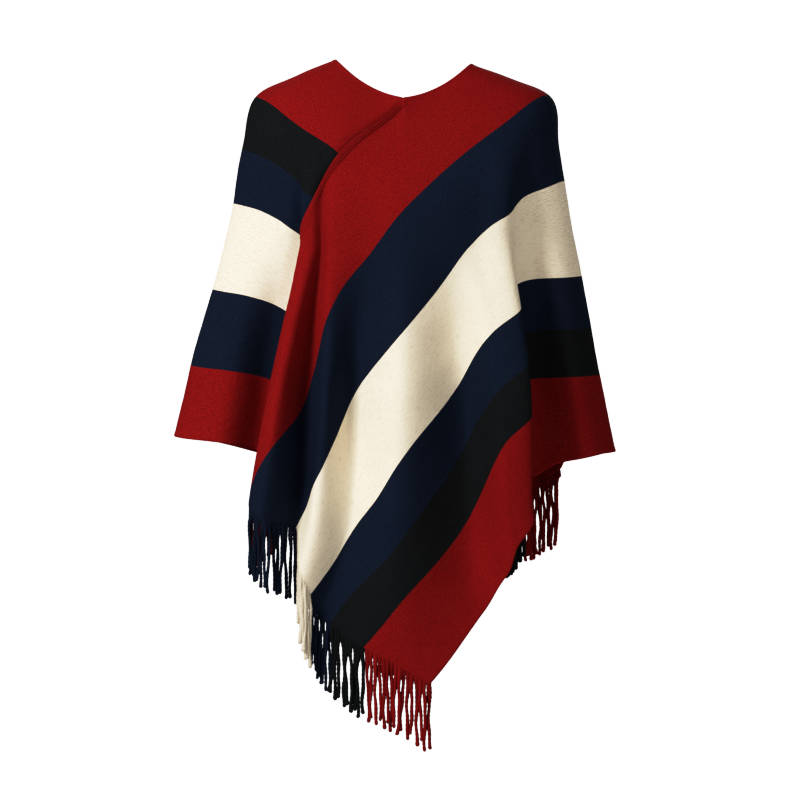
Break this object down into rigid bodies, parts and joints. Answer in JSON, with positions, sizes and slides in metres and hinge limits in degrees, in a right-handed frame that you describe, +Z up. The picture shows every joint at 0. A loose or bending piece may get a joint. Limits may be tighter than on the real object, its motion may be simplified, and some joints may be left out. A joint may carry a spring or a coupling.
{
  "type": "knitted two-panel poncho",
  "caption": "Pull-on knitted poncho of two striped rectangles, worn and hollow, with a V neck, pointed front and back hems and a fringe down one side of each point.",
  "frame": {"origin": "on the middle line, at the height of the front and back V points of the neck opening, where the wearer's shoulders carry the garment", "axes": "+Z up, +X to the wearer's left, the front faces -Y"},
  "size_m": [0.6188, 0.2779, 0.9685],
  "materials": {
    "panel_left_knit": "matt knit in red, navy, cream and black stripes",
    "panel_right_knit": "matt knit in red, navy, cream and black stripes",
    "yarn_red": "matt twisted yarn",
    "yarn_navy": "matt twisted yarn",
    "yarn_cream": "matt twisted yarn",
    "yarn_black": "matt twisted yarn"
  },
  "bodies": {
    "root": {"panel_left_shoulder": "panel_left_knit", "panel_right_shoulder": "panel_right_knit", "front_fringe_1_red": "yarn_red", "front_fringe_2_navy": "yarn_navy", "front_fringe_3_cream": "yarn_cream", "front_fringe_4_navy": "yarn_navy", "front_fringe_5_black": "yarn_black", "front_fringe_6_red": "yarn_red", "back_fringe_1_red": "yarn_red", "back_fringe_2_black": "yarn_black", "back_fringe_3_navy": "yarn_navy", "back_fringe_4_cream": "yarn_cream", "back_fringe_5_navy": "yarn_navy", "back_fringe_6_red": "yarn_red"}
  },
  "joints": []
}
